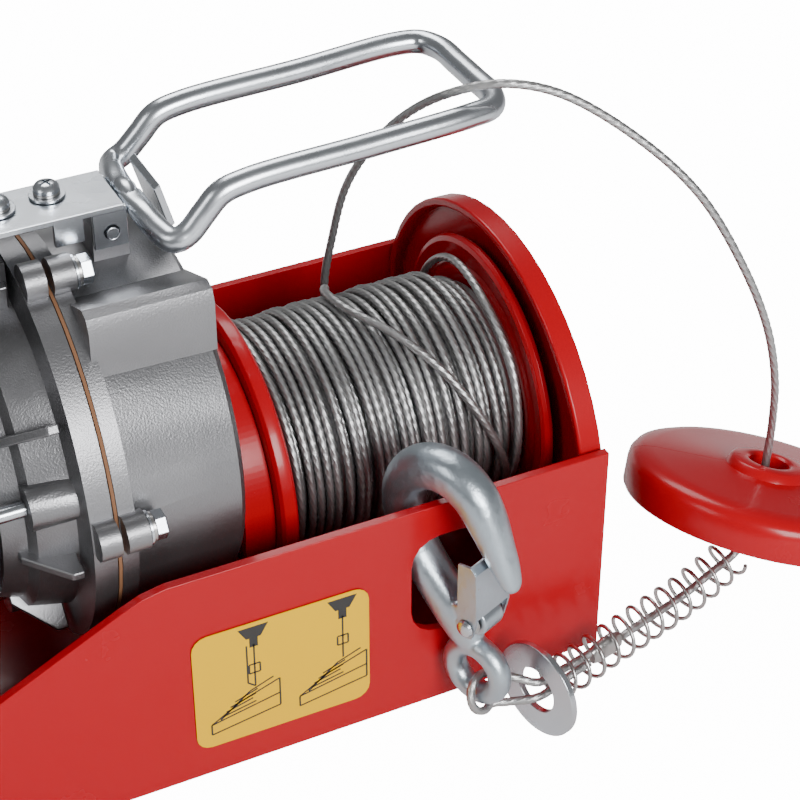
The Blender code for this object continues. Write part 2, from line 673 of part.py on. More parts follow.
def stop_parts():
    """Two half discs, screwed together round the rope."""
    split = math.radians(-118)
    away = Vector((0, 0, 1)).cross(STOP_AXIS).normalized()
    axes = Matrix((STOP_AXIS.cross(away), away, STOP_AXIS)).transposed()
    profile = [(4.6, 6.8), (4.6, 12.5), (0.8, 13.5), (0.3, 38), (-2.5, STOP_R), (-STOP_RIM, STOP_R - 0.3),
               (-STOP_RIM, 16), (-STOP_RIM - 3, 14), (-STOP_RIM - 3, 10.5), (-6, 6.8)]
    for name, start in (("stop_half_a", split), ("stop_half_b", split + math.pi)):
        verts = []
        faces = []
        steps = 20
        margin = 0.15
        for k in range(steps + 1):
            turn = start + math.pi * k / steps
            shift = Vector((-math.sin(start), math.cos(start))) * margin
            for height, radius in profile:
                flat = Vector((radius * math.cos(turn), radius * math.sin(turn))) + shift
                verts.append(STOP_TOP + axes @ Vector((flat.x, flat.y, height)))
        size = len(profile)
        for k in range(steps):
            for i in range(size):
                j = (i + 1) % size
                faces.append((k * size + i, k * size + j, (k + 1) * size + j, (k + 1) * size + i))
        faces.append(tuple(range(size)))
        faces.append(tuple(range(steps * size, (steps + 1) * size)))
        shape(name, verts, faces, RED)


# ---------------------------------------------------------------- hook

EYE_CENTRE = Vector((-52.6, -86, 20.7))
HOOK_YAW = math.radians(23.5)
HOOK_LEAN = math.radians(18)
EYE_TO_BOWL = 56.5
EYE_RING_R = 9.0


def hook_axes():
    """(u, v, w): across the hook, up it, and through it."""
    u = Vector((math.cos(HOOK_LEAN) * math.sin(HOOK_YAW), -math.cos(HOOK_LEAN) * math.cos(HOOK_YAW),
                math.sin(HOOK_LEAN)))
    v = Vector((-math.sin(HOOK_LEAN) * math.sin(HOOK_YAW), math.sin(HOOK_LEAN) * math.cos(HOOK_YAW),
                math.cos(HOOK_LEAN)))
    return u, v, u.cross(v)


def in_hook(u, v, w=0.0):
    """A point of the hook's own plane, measured from the middle of its bowl."""
    along_u, along_v, along_w = hook_axes()
    bowl = EYE_CENTRE + 4 * along_u + EYE_TO_BOWL * along_v
    return bowl + u * along_u + v * along_v + w * along_w


def swept(name, stations, look, closed=False, helper=False, count=10):
    """A bar of oval section along (u, v, half width, half thickness) stations in the hook's plane."""
    verts = []
    total = len(stations)
    for i, (u, v, half_width, half_thick) in enumerate(stations):
        after = stations[(i + 1) % total] if closed else stations[min(i + 1, total - 1)]
        before = stations[i - 1] if closed else stations[max(i - 1, 0)]
        ahead = Vector((after[0] - before[0], after[1] - before[1])).normalized()
        for k in range(count):
            turn = 2 * math.pi * k / count
            across = half_width * math.cos(turn)
            verts.append(in_hook(u - ahead.y * across, v + ahead.x * across, half_thick * math.sin(turn)))
    faces = []
    for i in range(total if closed else total - 1):
        n = (i + 1) % total
        for k in range(count):
            j = (k + 1) % count
            faces.append((i * count + k, i * count + j, n * count + j, n * count + k))
    if not closed:
        faces.append(tuple(range(count)))
        faces.append(tuple(range((total - 1) * count, total * count)))
    return shape(name, verts, faces, look, helper)


HOOK_BAR = ((-3.8, -46.5, 4.6, 4.2), (-4.6, -42, 6.0, 5.6), (-7.5, -34, 6.8, 6.4), (-12, -24, 6.4, 6.8),
            (-15.6, -15, 6.1, 7), (-17, -7, 6.1, 7), (-17, 0, 6.4, 7), (-14.3, 8.5, 6.7, 7),
            (-8.5, 14.3, 7, 7), (0, 16.6, 7.1, 7), (8.5, 14.3, 7, 7), (14.3, 8.3, 6.7, 6.8),
            (17, 0, 6, 6.3), (18.4, -8, 5, 5.5), (19.8, -16, 3.9, 4.6), (20.6, -21.5, 2.7, 3.4),
            (20.9, -23.6, 1.4, 1.8))
LATCH_PIVOT = (4.5, -35.0)


def hook_parts():
    hook = swept("lifting_hook", HOOK_BAR, ZINC)
    eye = [(-4 + EYE_RING_R * math.cos(t), -EYE_TO_BOWL + EYE_RING_R * math.sin(t), 3.8, 3.8)
           for t in (2 * math.pi * (i + 0.5) / 20 for i in range(20))]
    eye_ring = swept("hook_eye", eye, ZINC, closed=True, helper=True)
    lug_outline = [*circle(LATCH_PIVOT, 5, 9, -math.pi / 2, math.pi), (-5, LATCH_PIVOT[1] + 5),
                   (-5, LATCH_PIVOT[1] - 5)]
    lug = hook_prism("latch_lug", lug_outline, -4.6, 4.6, ZINC, helper=True)
    join(hook, eye_ring, lug)
    bore = hook_prism("latch_bore", circle(LATCH_PIVOT, 2.3, 12), -12, 12, ZINC, helper=True)
    cut(hook, bore)

    ear = [*circle(LATCH_PIVOT, 4.2, 6, math.radians(120), math.radians(200)), (9.6, -32.5), (14.6, -15),
           (13.4, -12.4), (8.5, -11.5), (4.4, -24)]
    latch = hook_prism("hook_latch", ear, -8.2, 8.2, ZINC)
    inner = [(-6, -20), (-6, -46), (11, -46), (11, -33.2), (8.9, -31), (13.2, -15.2), (12.2, -9), (2, -9)]
    inside = hook_prism("latch_inside", inner, -7.2, 7.2, ZINC, helper=True)
    bore = hook_prism("ear_bore", circle(LATCH_PIVOT, 2.1, 12), -12, 12, ZINC, helper=True)
    cut(latch, inside, bore)
    hook_lathe("latch_rivet", [(-10, 0), (-10, 2.8), (-8.5, 2.8), (-8.5, 1.7), (8.5, 1.7),
                               (8.5, 2.8), (10, 2.8), (10, 0)], LATCH_PIVOT, ZINC)


def hook_prism(name, outline, low, high, look, helper=False):
    count = len(outline)
    verts = [in_hook(u, v, w) for w in (low, high) for u, v in outline]
    faces = [tuple(range(count)), tuple(range(count, 2 * count))]
    for i in range(count):
        j = (i + 1) % count
        faces.append((i, j, j + count, i + count))
    return shape(name, verts, faces, look, helper)


def hook_lathe(name, profile, centre, look):
    """Turns a profile of (w, radius) points about an axis through the hook."""
    made = lathe(name, profile, (0, 0), look, "Z", 12)
    u, v, w = hook_axes()
    turn = Matrix((u, v, w)).transposed().to_4x4()
    made.matrix_local = Matrix.Translation(in_hook(*centre) * MM) @ turn
    return made


frame_parts()
drum_parts()
gear_case_parts()
gear_train_parts()
motor_parts()
lever_parts()
rope_parts()
stop_parts()
hook_parts()
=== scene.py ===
"""Looks of a compact electric wire-rope hoist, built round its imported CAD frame.

Lengths are in millimetres in the hoist's own axes, as in part.py: x = 0 at the end plate's outer
face, y = 0 on the centre plane, z = 0 under the base plate. place() turns them into the row frame.
"""

import json
import math
import random

import bmesh
import bpy
from mathutils import Matrix, Vector

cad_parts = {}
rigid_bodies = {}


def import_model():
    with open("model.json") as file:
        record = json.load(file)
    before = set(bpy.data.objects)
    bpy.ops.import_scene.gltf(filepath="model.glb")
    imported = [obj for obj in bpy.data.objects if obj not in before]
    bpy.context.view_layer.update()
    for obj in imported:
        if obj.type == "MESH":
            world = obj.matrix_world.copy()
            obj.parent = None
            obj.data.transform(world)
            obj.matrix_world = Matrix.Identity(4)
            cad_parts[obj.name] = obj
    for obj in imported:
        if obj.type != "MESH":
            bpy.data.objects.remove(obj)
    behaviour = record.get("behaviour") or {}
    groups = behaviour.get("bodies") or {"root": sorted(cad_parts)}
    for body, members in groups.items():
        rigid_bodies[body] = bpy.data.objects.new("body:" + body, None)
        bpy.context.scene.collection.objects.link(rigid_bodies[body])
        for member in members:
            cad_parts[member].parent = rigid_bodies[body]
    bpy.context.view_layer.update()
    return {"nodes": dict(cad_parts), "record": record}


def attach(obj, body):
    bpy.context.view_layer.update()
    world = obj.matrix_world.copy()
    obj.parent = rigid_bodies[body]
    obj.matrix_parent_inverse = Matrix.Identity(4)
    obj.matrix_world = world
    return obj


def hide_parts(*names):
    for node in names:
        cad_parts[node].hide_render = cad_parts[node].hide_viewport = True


MM = 0.001
SHIFT = Vector((184.0, 0.0, 5.5))
DRUM_Z = 65.0
MOTOR_Z = 93.0
DRUM_X = (-101.8, -6.0)
LABEL_Y = -73.07
INK_THICKNESS = 0.06
CAMERA_SPOT = (-304.87, -545.39, 501.56)
CAMERA_TURN = math.radians(26.11)
CAMERA_DROP = math.radians(35.74)


def place(point):
    """A point of the hoist's own axes, in the row frame, in metres."""
    return (Vector(point) + SHIFT) * MM


def linked(name, data):
    """A new object that holds the data, in the scene's collection."""
    obj = bpy.data.objects.new(name, data)
    bpy.context.scene.collection.objects.link(obj)
    return obj


for leftover in list(bpy.data.objects):
    bpy.data.objects.remove(leftover)

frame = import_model()
node_bodies = {
    node: body
    for body, members in frame["record"]["behaviour"]["bodies"].items()
    for node in members
}

# ---------------------------------------------------------------- camera

camera_data = bpy.data.cameras.new("camera")
camera_data.sensor_width = 36.0
camera_data.lens = 100.68
camera_data.clip_start = 0.01
camera = linked("camera", camera_data)
forward = Vector((math.sin(CAMERA_TURN) * math.cos(CAMERA_DROP),
                  math.cos(CAMERA_TURN) * math.cos(CAMERA_DROP), -math.sin(CAMERA_DROP)))
right = Vector((math.cos(CAMERA_TURN), -math.sin(CAMERA_TURN), 0.0))
up = right.cross(forward)
view = Matrix((right, up, -forward)).transposed().to_4x4()
camera.matrix_world = Matrix.Translation(place(CAMERA_SPOT)) @ view
bpy.context.scene.camera = camera


# ---------------------------------------------------------------- materials

def surface(name, colour, roughness, metallic=0.0, grain=0.0, grain_size=1.0, wear=0.06, coat=0.0,
            tone=0.0, shine=0.5):
    """A Principled material with fine procedural relief, patchy roughness and a slight mottle.

    grain is the relief's height and grain_size its length, both in millimetres. wear is how far the
    roughness varies, tone how far the colour does, and shine is the specular level.
    """
    made = bpy.data.materials.new(name)
    made.use_nodes = True
    nodes = made.node_tree.nodes
    links = made.node_tree.links
    shader = nodes["Principled BSDF"]
    shader.inputs["Metallic"].default_value = metallic
    shader.inputs["Coat Weight"].default_value = coat
    shader.inputs["Coat Roughness"].default_value = 0.08
    shader.inputs["Specular IOR Level"].default_value = shine
    where = nodes.new("ShaderNodeTexCoord")

    patches = nodes.new("ShaderNodeTexNoise")
    patches.inputs["Scale"].default_value = 45.0
    patches.inputs["Detail"].default_value = 4.0
    links.new(where.outputs["Object"], patches.inputs["Vector"])
    rough = nodes.new("ShaderNodeMapRange")
    rough.inputs["From Min"].default_value = 0.1
    rough.inputs["From Max"].default_value = 0.9
    rough.inputs["To Min"].default_value = roughness - wear
    rough.inputs["To Max"].default_value = roughness + wear
    links.new(patches.outputs["Fac"], rough.inputs["Value"])
    links.new(rough.outputs["Result"], shader.inputs["Roughness"])

    mottle = nodes.new("ShaderNodeMix")
    mottle.data_type = "RGBA"
    mottle.inputs["A"].default_value = (*[c * (1 - tone) for c in colour], 1.0)
    mottle.inputs["B"].default_value = (*[min(1.0, c * (1 + tone)) for c in colour], 1.0)
    links.new(patches.outputs["Fac"], mottle.inputs["Factor"])
    links.new(mottle.outputs["Result"], shader.inputs["Base Color"])

    if grain:
        relief = nodes.new("ShaderNodeTexNoise")
        relief.inputs["Scale"].default_value = 1000.0 / grain_size
        relief.inputs["Detail"].default_value = 3.0
        links.new(where.outputs["Object"], relief.inputs["Vector"])
        bump = nodes.new("ShaderNodeBump")
        bump.inputs["Distance"].default_value = grain * MM
        links.new(relief.outputs["Fac"], bump.inputs["Height"])
        links.new(bump.outputs["Normal"], shader.inputs["Normal"])
    return made


RED = surface("red_gloss", (0.40, 0.0, 0.006), 0.26, grain=0.02, grain_size=5.0, wear=0.03, coat=0.10,
              shine=0.25)
CAST = surface("cast_case", (0.25, 0.25, 0.26), 0.38, 0.92, grain=0.10, grain_size=0.6, tone=0.12)
HOOK = surface("hook_zinc", (0.46, 0.52, 0.57), 0.36, 0.95, grain=0.25, grain_size=3.5, wear=0.10,
               tone=0.15)
ZINC = surface("bright_zinc", (0.60, 0.63, 0.67), 0.27, 1.0, grain=0.02, grain_size=2.0, wear=0.08,
               tone=0.05)
STEEL = surface("steel", (0.50, 0.49, 0.48), 0.30, 1.0, grain=0.02, grain_size=1.0)
ROPE = surface("rope_wire", (0.42, 0.42, 0.42), 0.38, 0.92, grain=0.12, grain_size=0.45, tone=0.10)
# Painted shade: a darker rope colour for the winding core, standing in for the shade between the rope
# turns.
ROPE_PAINTED_SHADE = surface("rope_painted_shade", (0.20, 0.20, 0.20), 0.55, 0.8)
BLACK = surface("black_plastic", (0.018, 0.018, 0.020), 0.45, grain=0.03, grain_size=0.8)
YELLOW = surface("label_yellow", (0.80, 0.46, 0.0), 0.5, wear=0.02, shine=0.1)
INK = surface("label_ink", (0.02, 0.02, 0.02), 0.35, wear=0.02)
GASKET = surface("gasket", (0.20, 0.09, 0.04), 0.8)
LINING = surface("brake_lining", (0.10, 0.08, 0.07), 0.85)

FINISHES = {"red_powder_coat": RED, "cast_aluminium": CAST, "zinc_plate": ZINC, "steel": STEEL,
            "wire_rope": ROPE, "gasket": GASKET, "label": YELLOW, "black_plastic": BLACK,
            "brake_lining": LINING}
SLOTS = {finish: slot for slot, finish in FINISHES.items()}
SLOTS.update({HOOK: "zinc_plate", ROPE_PAINTED_SHADE: "wire_rope", INK: "label"})


# ---------------------------------------------------------------- mesh helpers

def shape(name, verts, faces, finish, body, stands_for=(), angle=35, bevel=0.0):
    """A closed mesh from millimetre points that rides a body, and stands for some CAD nodes."""
    mesh = bpy.data.meshes.new(name)
    mesh.from_pydata([place(v) for v in verts], [], faces)
    return dress(name, mesh, finish, body, stands_for, angle, bevel)


def face_out(mesh):
    """Turns the mesh's faces outwards."""
    work = bmesh.new()
    work.from_mesh(mesh)
    bmesh.ops.recalc_face_normals(work, faces=work.faces)
    work.to_mesh(mesh)
    work.free()


def prism_faces(count):
    """The faces of a prism whose two ends have count points each."""
    faces = [tuple(range(count)), tuple(range(count, 2 * count))]
    for i in range(count):
        j = (i + 1) % count
        faces.append((i, j, j + count, i + count))
    return faces


def loft_faces(rows, count):
    """The faces of a closed loft through rows of count points each, with both ends filled."""
    faces = []
    for i in range(rows - 1):
        for k in range(count):
            j = (k + 1) % count
            faces.append((i * count + k, i * count + j, (i + 1) * count + j, (i + 1) * count + k))
    faces.append(tuple(range(count)))
    faces.append(tuple(range((rows - 1) * count, rows * count)))
    return faces


def dress(name, mesh, finish, body, stands_for, angle, bevel):
    """Shades the mesh, rounds its edges by bevel millimetres, and attaches it to its body."""
    face_out(mesh)
    mesh.shade_smooth()
    mesh.set_sharp_from_angle(angle=math.radians(angle))
    mesh.materials.clear()
    mesh.materials.append(finish)
    obj = linked(name, mesh)
    if bevel:
        rounding = obj.modifiers.new("rounding", "BEVEL")
        rounding.width = bevel * MM
        rounding.segments = 3
        rounding.limit_method = "ANGLE"
        rounding.angle_limit = math.radians(35)
        rounding.harden_normals = True
    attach(obj, body)
    if stands_for:
        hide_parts(*stands_for)
    return obj


def rounded_copy(node, finish, bevel):
    """A copy of a CAD node with its flat faces made whole and its edges rounded."""
    mesh = frame["nodes"][node].data.copy()
    work = bmesh.new()
    work.from_mesh(mesh)
    bmesh.ops.remove_doubles(work, verts=work.verts, dist=1e-6)
    bmesh.ops.dissolve_limit(work, angle_limit=math.radians(1), verts=work.verts, edges=work.edges)
    work.to_mesh(mesh)
    work.free()
    dress(f"{node}_look", mesh, finish, node_bodies[node], [node], 35, bevel)


def axes_along(direction):
    """Three unit vectors: along a direction and two across it, the last mostly upwards."""
    along = Vector(direction).normalized()
    level = Vector((0, 0, 1)) if abs(along.z) < 0.95 else Vector((0, 1, 0))
    side = along.cross(level).normalized()
    return along, side, side.cross(along)


def turned(name, profile, origin, direction, finish, body, stands_for=(), count=64, bevel=0.0):
    """Turns a closed profile of (along, radius) points about an axis, in count steps."""
    along, side, top = axes_along(direction)
    verts = []
    rings = []
    for distance, radius in profile:
        start = Vector(origin) + along * distance
        if radius == 0:
            rings.append([len(verts)] * count)
            verts.append(start)
            continue
        rings.append(list(range(len(verts), len(verts) + count)))
        for i in range(count):
            spin = 2 * math.pi * i / count
            verts.append(start + radius * (side * math.cos(spin) + top * math.sin(spin)))
    faces = []
    for first, second in zip(rings, rings[1:] + rings[:1]):
        for i in range(count):
            j = (i + 1) % count
            face = tuple(dict.fromkeys([first[i], first[j], second[j], second[i]]))
            if len(face) > 2:
                faces.append(face)
    return shape(name, verts, faces, finish, body, stands_for, 30, bevel)


def smooth_route(route, spacing):
    """Points about spacing apart on a smooth curve through the route's own points."""
    points = [Vector(p) for p in route]
    points = [2 * points[0] - points[1], *points, 2 * points[-1] - points[-2]]
    dense = []
    for before, start, end, after in zip(points, points[1:], points[2:], points[3:]):
        knots = [0.0]
        for p, q in ((before, start), (start, end), (end, after)):
            knots.append(knots[-1] + math.sqrt((q - p).length))
        for step in range(24):
            t = knots[1] + (knots[2] - knots[1]) * step / 24
            level = [before, start, end, after]
            for reach in (1, 2):
                level = [
                    level[i].lerp(level[i + 1], (t - knots[i]) / (knots[i + reach] - knots[i]))
                    for i in range(len(level) - 1)
                ]
            dense.append(level[0].lerp(level[1], (t - knots[1]) / (knots[2] - knots[1])))
    dense.append(points[-2].copy())
    lengths = [0.0]
    for p, q in zip(dense, dense[1:]):
        lengths.append(lengths[-1] + (q - p).length)
    count = max(2, round(lengths[-1] / spacing))
    result = []
    k = 0
    for i in range(count + 1):
        wanted = lengths[-1] * i / count
        while k < len(dense) - 2 and lengths[k + 1] < wanted:
            k += 1
        share = (wanted - lengths[k]) / max(lengths[k + 1] - lengths[k], 1e-9)
        result.append(dense[k].lerp(dense[k + 1], share))
    return result


def bar(name, points, section, finish, body, stands_for=(), spin=0.0):
    """A bar along the points. section(i) gives its outline as (across, up) points, and spin turns it
    by so many radians per millimetre."""
    side = None
    verts = []
    run = 0.0
    for i, point in enumerate(points):
        ahead = (points[min(i + 1, len(points) - 1)] - points[max(i - 1, 0)]).normalized()
        if side is None:
            side = axes_along(ahead)[1]
        side = (side - ahead * side.dot(ahead)).normalized()
        top = side.cross(ahead)
        if i:
            run += (point - points[i - 1]).length
        c, s = math.cos(spin * run), math.sin(spin * run)
        for a, b in section(i):
            verts.append(point + side * (a * c - b * s) + top * (a * s + b * c))
    faces = loft_faces(len(points), len(section(0)))
    return shape(name, verts, faces, finish, body, stands_for, angle=60)


def circle(radius, count, flat=1.0):
    """Points round a circle whose second axis is scaled by flat."""
    return [
        (radius * math.cos(2 * math.pi * i / count), flat * radius * math.sin(2 * math.pi * i / count))
        for i in range(count)
    ]


def laid_rope(name, points, body, stands_for=()):
    """A wire rope along the points: an outline of six strands, twisted once in each lay's length."""
    outline = []
    for i in range(18):
        lean = 2 * math.pi * i / 18
        radius = ROPE_D / 2 * (1.0 if i % 3 else 0.86)
        outline.append((radius * math.cos(lean), radius * math.sin(lean)))
    return bar(name, points, lambda i: outline, ROPE, body, stands_for, spin=2 * math.pi / ROPE_LAY)


# ---------------------------------------------------------------- cords

ROPE_D = 2.8
ROPE_LAY = 21.0
ROPE_ROUTE = ((-48.3, 36.4, 88), (-48.7, 34.5, 97), (-48.8, 28, 115), (-48.4, 18, 139),
              (-45.9, 8, 156), (-39.8, -4.4, 173.4), (-31.8, -19.3, 187), (-18.9, -29.5, 192.4),
              (-2.6, -36, 188.5), (20.2, -46, 172.3), (36.7, -56, 154.2), (51.3, -63, 127.1),
              (60.1, -66.5, 104.1), (63.7, -68.5, 84.8), (64, -69.4, 69.2), (62.9, -70.2, 55.6),
              (61, -71.3, 42), (57.9, -73, 29.5), (51, -74.8, 22), (40.6, -77.1, 18.9),
              (30.9, -79.3, 16.4), (21.6, -81.4, 15), (11.4, -83.7, 14.2), (0.5, -86.2, 13.1))
AXIS_START = Vector((-34.6, -94, 11.3))
FERRULE_X = (-12.5, 0.2)
EYE_LOOP_R = 6.2
EYE_CENTRE = Vector((-52.6, -86, 20.7))
HOOK_YAW = math.radians(23.5)
HOOK_LEAN = math.radians(18)
EYE_TO_BOWL = 56.5
EYE_RING_R = 9.0
HOOK_U = Vector((math.cos(HOOK_LEAN) * math.sin(HOOK_YAW), -math.cos(HOOK_LEAN) * math.cos(HOOK_YAW),
                 math.sin(HOOK_LEAN)))
HOOK_V = Vector((-math.sin(HOOK_LEAN) * math.sin(HOOK_YAW), math.sin(HOOK_LEAN) * math.cos(HOOK_YAW),
                 math.cos(HOOK_LEAN)))
HOOK_W = HOOK_U.cross(HOOK_V)
BOWL = EYE_CENTRE + 4 * HOOK_U + EYE_TO_BOWL * HOOK_V


def rope_end():
    """The free rope, its ferrule and its eye round the hook's ring. Returns the spring's centre line."""
    body = "hoist_frame"
    start = [AXIS_START, (-21.1, -90.9, 10.6), (-6.8, -87.7, 12.4)]
    line = smooth_route([*start, *ROPE_ROUTE[:17:-1]], 0.5)
    free = smooth_route(ROPE_ROUTE, 0.8)
    rope = laid_rope("free_rope", free, body, ["rope_free"])
    inside = [p for p in line if FERRULE_X[0] <= p.x <= FERRULE_X[1]][::2]

    def pressed(i):
        swell = 1.0 - 0.28 * max(0.0, 1 - min(i, len(inside) - 1 - i) / 3.0)
        dent = 0.94 if (i // 4) % 2 else 1.0
        return [(2.6 * swell * dent * math.cos(t), 4.2 * swell * math.sin(t))
                for t in (2 * math.pi * k / 24 for k in range(24))]

    ferrule = bar("ferrule", inside, pressed, STEEL, body, ["rope_ferrule"])
    ring_bottom = EYE_CENTRE - EYE_RING_R * HOOK_V
    loop = []
    for degrees in (75, 120, 165, 210, 255, 290):
        lean = math.radians(degrees)
        loop.append(ring_bottom + EYE_LOOP_R * (HOOK_V * math.sin(lean) - HOOK_W * math.cos(lean)))
    upper = [(-13.4, -89.2, 13.6), (-24, -91.4, 13.2), (-34.6, -93.9, 13.8), (-40.5, -91.2, 15.6),
             (-45.5, -88.4, 17.2)]
    lower = [(-43.5, -91, 6.6), (-34.6, -94.3, 7.8), (-24, -91.9, 8.9), (-13.4, -89.6, 10.2)]
    eye_line = smooth_route([*upper, *loop, *lower], 0.8)
    eye = laid_rope("eye_rope", eye_line, body, ["rope_eye"])
    return line


spring_axis = rope_end()


# ---------------------------------------------------------------- frame and drum

def frame_look():
    """The folded channel, the end plate, the partition and the label."""
    rounded_copy("frame_channel", RED, 0.7)
    rounded_copy("end_plate", RED, 1.3)
    rounded_copy("partition_plate", RED, 0.5)
    label_look()


LABEL_STROKES = (((-15, 16.5), (8, 20)), ((8, 20), (8, 25)), ((8, 25), (-15, 20.5)),
                 ((-15, 20.5), (-15, 16.5)), ((-15, 20.5), (-5, 26.5)), ((-5, 26.5), (8, 31)),
                 ((8, 31), (8, 25)), ((-12, 21.5), (-2, 29.5)), ((-2, 29.5), (6, 32.5)),
                 ((-11, 22.6), (0, 24.8)), ((-10, 24), (-1, 26.4)), ((-8.6, 25.4), (0, 28)),
                 ((-7, 27), (0.6, 29.6)), ((0, 31), (0, 48)), ((-1.8, 36.5), (1.8, 36.5)),
                 ((-1.8, 36.5), (-1.8, 40)), ((1.8, 36.5), (1.8, 40)), ((-1.8, 40), (1.8, 40)))
SECOND_LINE = (((-2.4, 33), (-2.4, 48)), ((-2.4, 33), (0, 31)))


def label_look():
    """A yellow label with two line drawings of the hoist at work, and no lettering."""
    rounded_copy("instruction_label", YELLOW, 0.0)
    for pull, doubled in ((-122.5, True), (-93.0, False)):
        strokes = LABEL_STROKES + SECOND_LINE if doubled else LABEL_STROKES
        for i, (a, b) in enumerate(strokes):
            ink_stroke(f"label_line_{doubled}_{i}", (pull + a[0], a[1]), (pull + b[0], b[1]), 0.6)
        beam = [(pull - 5, 55), (pull + 5, 55), (pull + 2.4, 50.6), (pull - 2.4, 50.6)]
        ink_shape(f"label_beam_{doubled}", beam)
        block = [(pull - 1.4, 47), (pull + 1.4, 47), (pull + 1.4, 50.6), (pull - 1.4, 50.6)]
        ink_shape(f"label_block_{doubled}", block)


def ink_stroke(name, a, b, width):
    """A straight line of ink between two points of the label."""
    start, end = Vector(a), Vector(b)
    across = Vector((-(end - start).y, (end - start).x)).normalized() * width / 2
    ink_shape(name, [start + across, start - across, end - across, end + across])


def ink_shape(name, outline):
    """A thin flat piece of ink on the label."""
    verts = [(x, y, z) for y in (LABEL_Y, LABEL_Y + INK_THICKNESS) for x, z in outline]
    shape(name, verts, prism_faces(len(outline)), INK, "hoist_frame")


def drum_look():
    """The drum with a rolled left rim and a dished right flange."""
    left, right_face = DRUM_X
    profile = [(right_face, 8.3), (right_face, 47.5), (right_face - 0.8, 49.4), (right_face - 2.2, 50),
               (right_face - 3.6, 49.3), (right_face - 4.2, 47.6), (right_face - 3.4, 45.6),
               (right_face - 3.0, 41), (right_face - 3.8, 39.6), (right_face - 3.8, 36.5),
               (right_face - 3.0, 35), (right_face - 3.0, 27), (left + 5.2, 27), (left + 5.2, 45.5),
               (left + 5.8, 46.8), (left + 5.8, 48.6), (left + 4.8, 49.8), (left + 3, 50),
               (left + 1, 49.7), (left, 48.4), (left, 8.3), (left + 8, 8.3), (left + 8, 23),
               (right_face - 8, 23), (right_face - 8, 8.3)]
    turned("drum_look", profile, (0, 0, DRUM_Z), (1, 0, 0), RED, "drum", ["drum_spool"], 128, 0.25)


TURN_STEPS = 90
UNDER_TURNS = 28
UNDER_R = 35.3
OVER_R = 38.2


def on_drum(x, radius, angle):
    """A point by its place along the drum, its radius and its angle from the far side over the top."""
    return Vector((x, radius * math.cos(angle), DRUM_Z + radius * math.sin(angle)))


def winding_look():
    """An even layer underneath on a core painted dark as the shade between the turns, a loose layer over
    it, and the last turn that crosses back.
    """
    chance = random.Random(7)
    # The winding core is painted dark, as the shade that shows in the gaps between the turns.
    turned("winding_core", [(-95.0, 27.4), (-95.0, 34.0), (-9.9, 34.0), (-9.9, 27.4)], (0, 0, DRUM_Z),
           (1, 0, 0), ROPE_PAINTED_SHADE, "drum", ["wound_rope"])
    under = []
    total = UNDER_TURNS * TURN_STEPS
    for i in range(total):
        part = i / total
        wobble = 0.25 * math.sin(part * 61.0) + 0.2 * math.sin(part * 23.0)
        angle = 2 * math.pi * i / TURN_STEPS
        under.append(on_drum(-93.2 + 81.0 * part + wobble, UNDER_R, angle))
    laid_rope("winding_under", under, "drum")

    spots = [-93.5]
    while spots[-1] < -20.0:
        spots.append(spots[-1] + chance.uniform(2.9, 4.4))
    lifts = [chance.uniform(-0.3, 1.5) for _ in spots]
    leans = [chance.uniform(-1.3, 1.3) for _ in spots]
    over = []
    for k in range(len(spots) - 1):
        for i in range(TURN_STEPS):
            part = i / TURN_STEPS
            ease = part * part * (3 - 2 * part)
            bow = leans[k] * math.sin(2 * math.pi * part) * 0.9
            x = spots[k] + (spots[k + 1] - spots[k]) * ease + bow
            radius = OVER_R + lifts[k] + (lifts[k + 1] - lifts[k]) * ease
            over.append(on_drum(x, radius, 2 * math.pi * part + math.pi * 1.5))
    laid_rope("winding_over", over, "drum")

    loose = [on_drum(-20.5, 38.6, math.radians(-95)), on_drum(-15.5, 39.0, math.radians(-60)),
             on_drum(-12.5, 39.6, math.radians(-10)), on_drum(-11.8, 41.2, math.radians(35)),
             on_drum(-13.0, 43.4, math.radians(75)), on_drum(-14.5, 43.4, math.radians(110)),
             on_drum(-14.0, 42.2, math.radians(145)), on_drum(-15.5, 41.0, math.radians(185)),
             on_drum(-18.0, 40.6, math.radians(220)), on_drum(-19.5, 40.8, math.radians(262))]
    laid_rope("winding_loose", smooth_route(loose, 1.0), "drum")
    cross = [on_drum(-16.0, 40.0, math.radians(215)), on_drum(-19.5, 41.4, math.radians(188)),
             on_drum(-27.0, 42.0, math.radians(162)), on_drum(-37.0, 42.2, math.radians(135)),
             on_drum(-48.0, 42.4, math.radians(112)), on_drum(-57.0, 42.2, math.radians(92)),
             on_drum(-57.5, 42.0, math.radians(70)), on_drum(-51.5, 42.2, math.radians(48)),
             on_drum(-48.3, 42.6, math.radians(33.5))]
    laid_rope("winding_cross", smooth_route(cross, 1.0), "drum")


# ---------------------------------------------------------------- gear case and motor

CASE_BOLT_ANGLES = (105, 176, 222, 270, 318, 20)
BOLT_CIRCLE_R = 65.8
BOLT_SEAT_X = -151.0


def case_look():
    """The gear case and its cover, with gasket, bolts, tie rods and ribs."""
    rounded_copy("gear_case", CAST, 0.9)
    rounded_copy("gear_cover", CAST, 0.9)
    rounded_copy("case_gasket", GASKET, 0.0)
    for i, angle in enumerate(CASE_BOLT_ANGLES):
        lean = math.radians(angle)
        y = BOLT_CIRCLE_R * math.cos(lean)
        hexagon_bolt(f"case_bolt_{i + 1}", (BOLT_SEAT_X, y, MOTOR_Z + BOLT_CIRCLE_R * math.sin(lean)))
    for i in range(4):
        rounded_copy(f"tie_rod_{i + 1}", ZINC, 0.0)
    cover_ribs()


